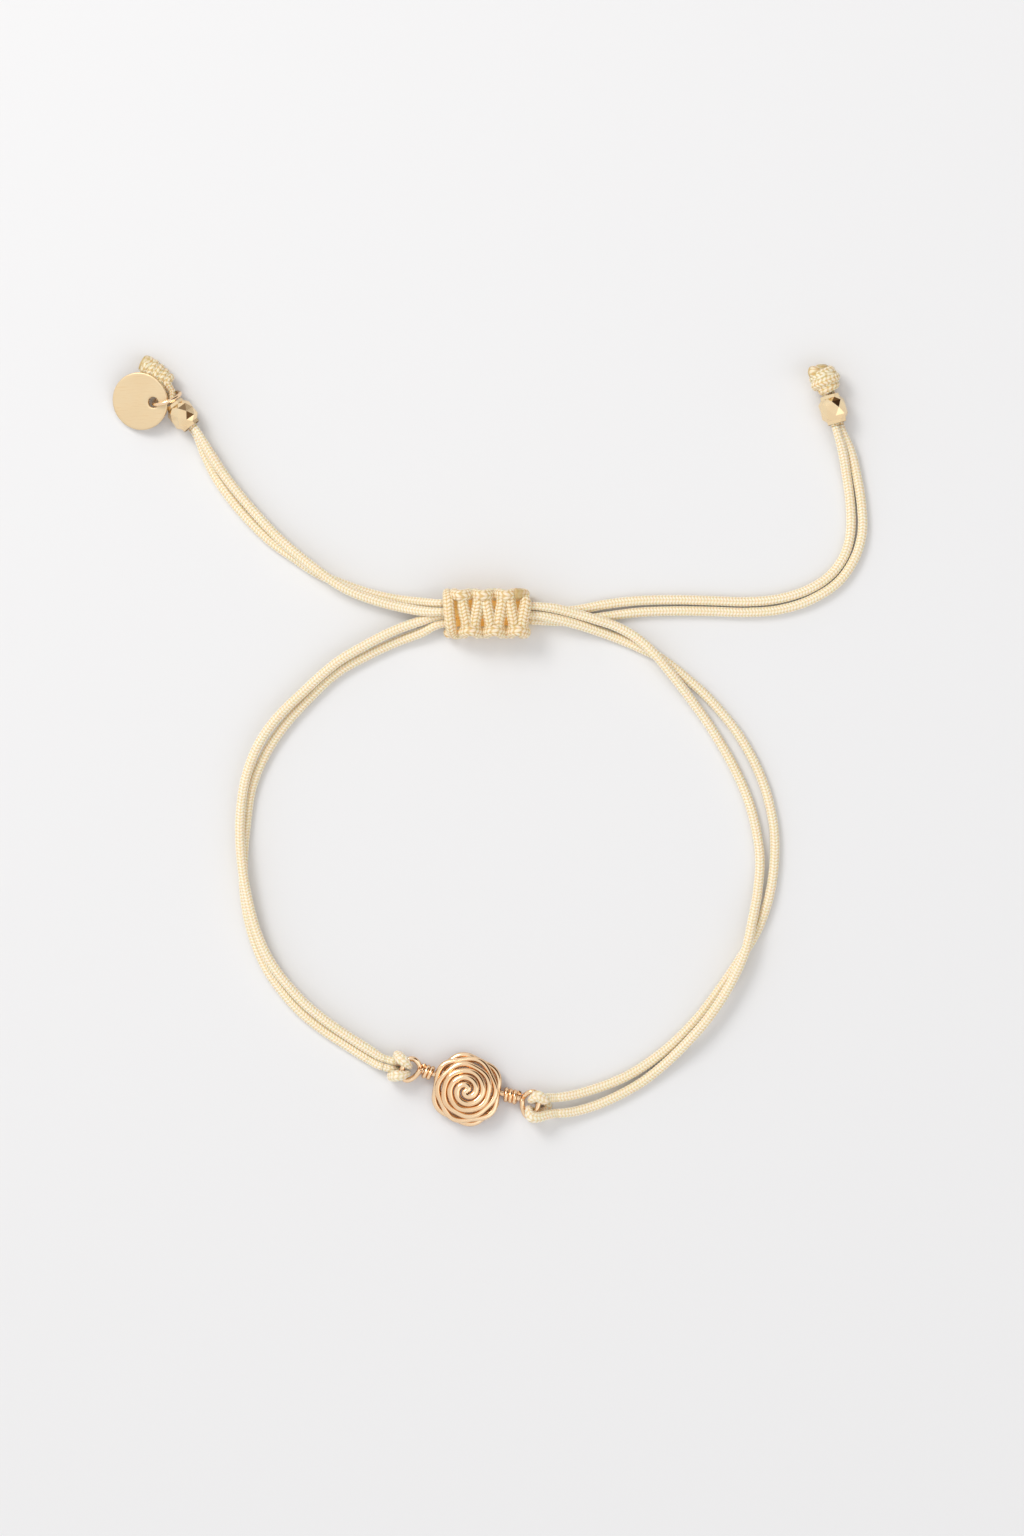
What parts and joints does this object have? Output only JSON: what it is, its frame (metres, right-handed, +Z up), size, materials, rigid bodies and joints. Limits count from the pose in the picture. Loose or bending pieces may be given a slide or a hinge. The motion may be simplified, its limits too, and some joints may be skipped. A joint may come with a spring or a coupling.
{
  "type": "cord bracelet",
  "caption": "Adjustable braided cord bracelet lying open, with a wound gold wire rose, a sliding knot, beaded tails and a disc tag.",
  "frame": {"origin": "middle of the bracelet's loop, on the surface that it lies on", "axes": "+Z up from the surface; +X to the right and +Y to the top of the picture, so the sliding knot lies at +Y and the rose at -Y"},
  "size_m": [0.0806, 0.0822, 0.0043],
  "materials": {
    "gold_wire": "polished",
    "gold_bead": "polished",
    "satin_gold": "satin",
    "braided_cord": "braided",
    "knot_cord": "braided"
  },
  "bodies": {
    "root": {"wire_rose": "gold_wire", "eyelet_wire": "gold_wire", "left_coil": "gold_wire", "right_coil": "gold_wire", "left_hitch": "braided_cord", "right_hitch": "braided_cord", "left_over_strand": "braided_cord", "left_under_strand": "braided_cord", "right_over_strand": "braided_cord", "right_under_strand": "braided_cord", "sliding_knot": "knot_cord", "left_tail_over": "braided_cord", "left_tail_under": "braided_cord", "right_tail_inner": "braided_cord", "right_tail_outer": "braided_cord", "left_bead": "gold_bead", "right_bead": "gold_bead", "left_end_knot": "knot_cord", "right_end_knot": "knot_cord", "jump_ring": "gold_wire", "tag": "satin_gold"}
  },
  "joints": []
}
